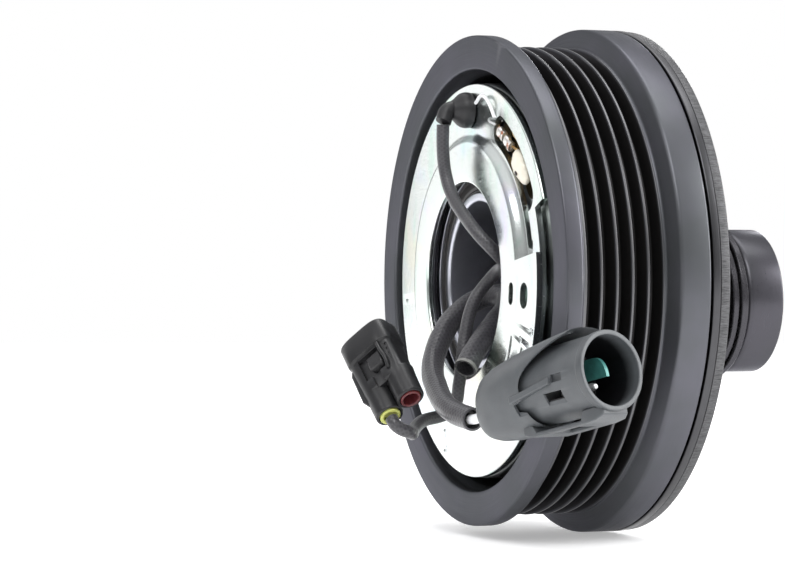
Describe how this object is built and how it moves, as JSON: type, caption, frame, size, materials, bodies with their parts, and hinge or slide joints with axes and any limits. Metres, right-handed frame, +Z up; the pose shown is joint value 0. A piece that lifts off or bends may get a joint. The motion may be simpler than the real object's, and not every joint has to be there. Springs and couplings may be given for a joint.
{
  "type": "electromagnetic clutch",
  "caption": "Magnetic clutch for an air-conditioning compressor: ribbed belt pulley, coil, bearing, armature plate, damped hub, and a lead with two plugs.",
  "frame": {"origin": "on the shaft axis, in the plane of the pulley's rear face, where the compressor's nose holds it", "axes": "+Y along the shaft axis towards the compressor, -Y towards the hub, +Z up through the lead's grommet, +X to the right as seen from the hub side"},
  "size_m": [0.1372, 0.0816, 0.112],
  "materials": {
    "coated_steel": "satin black oxide coating on formed and turned steel",
    "grey_steel": "dark grey machined and stamped steel, lightly oiled",
    "dark_steel": "dark satin steel",
    "zinc_plated_steel": "bright zinc with a faint yellow, blue and pink tint",
    "bearing_steel": "ground and polished bearing steel",
    "copper": "enamelled copper wire",
    "brass": "stamped brass",
    "tinned_metal": "tin plated copper alloy",
    "dark_resin": "cast epoxy potting",
    "cream_resin": "dipped resin",
    "black_rubber": "moulded black rubber",
    "grey_sleeve": "woven dark grey protective sleeve",
    "grey_plastic": "moulded dark grey nylon",
    "black_plastic": "moulded black nylon",
    "yellow_silicone": "soft yellow wire seal",
    "red_silicone": "soft dark red blind seal"
  },
  "bodies": {
    "coil": {"coil_shell": "zinc_plated_steel", "coil_winding": "copper", "coil_potting": "dark_resin", "coil_mounting_plate": "zinc_plated_steel", "lead_grommet": "black_rubber", "thermal_protector": "cream_resin", "lead_crimp_1": "copper", "lead_crimp_2": "copper", "winding_lead": "tinned_metal", "bearing_inner_race": "bearing_steel", "coil_lead": "grey_sleeve", "main_sleeve": "grey_sleeve", "main_plug_wire": "grey_sleeve", "main_plug_housing": "grey_plastic", "main_plug_terminal": "tinned_metal", "small_plug_housing": "black_plastic", "small_plug_seal_yellow": "yellow_silicone", "small_plug_seal_red": "red_silicone", "small_plug_terminal_1": "brass", "small_plug_terminal_2": "brass"},
    "pulley": {"pulley": "coated_steel", "bearing_outer_race": "bearing_steel", "bearing_seal_rear": "black_rubber", "bearing_seal_front": "black_rubber"},
    "ball_cage": {"bearing_ball_cage": "bearing_steel"},
    "hub": {"hub_plate": "coated_steel", "hub_back_plate": "coated_steel", "hub_disc": "grey_steel", "hub_boss": "grey_steel", "hub_rivet_1": "grey_steel", "hub_rivet_2": "grey_steel", "hub_rivet_3": "grey_steel", "damper_cup_1": "coated_steel", "damper_cup_2": "coated_steel", "damper_cup_3": "coated_steel", "damper_rubber_1": "black_rubber", "damper_rubber_2": "black_rubber", "damper_rubber_3": "black_rubber", "damper_cap_1": "dark_steel", "damper_cap_2": "dark_steel", "damper_cap_3": "dark_steel"},
    "armature": {"armature_plate": "grey_steel", "armature_pin_1": "dark_steel", "armature_pin_2": "dark_steel", "armature_pin_3": "dark_steel"}
  },
  "joints": [
    {"name": "pulley_spin", "type": "hinge", "parent": "coil", "child": "pulley", "pos_m": [0, -0.0132, 0], "axis": [0, 1, 0], "continuous": true},
    {"name": "cage_spin", "type": "hinge", "parent": "coil", "child": "ball_cage", "pos_m": [0, -0.0132, 0], "axis": [0, 1, 0], "continuous": true},
    {"name": "hub_spin", "type": "hinge", "parent": "coil", "child": "hub", "pos_m": [0, -0.032, 0], "axis": [0, 1, 0], "continuous": true},
    {"name": "armature_slide", "type": "slide", "parent": "hub", "child": "armature", "axis": [0, 1, 0], "range_m": [0, 0.0004], "stiffness_N_per_m": 40000}
  ],
  "couplings": [
    {"joint": "cage_spin", "follows": "pulley_spin", "ratio": 0.5634}
  ]
}
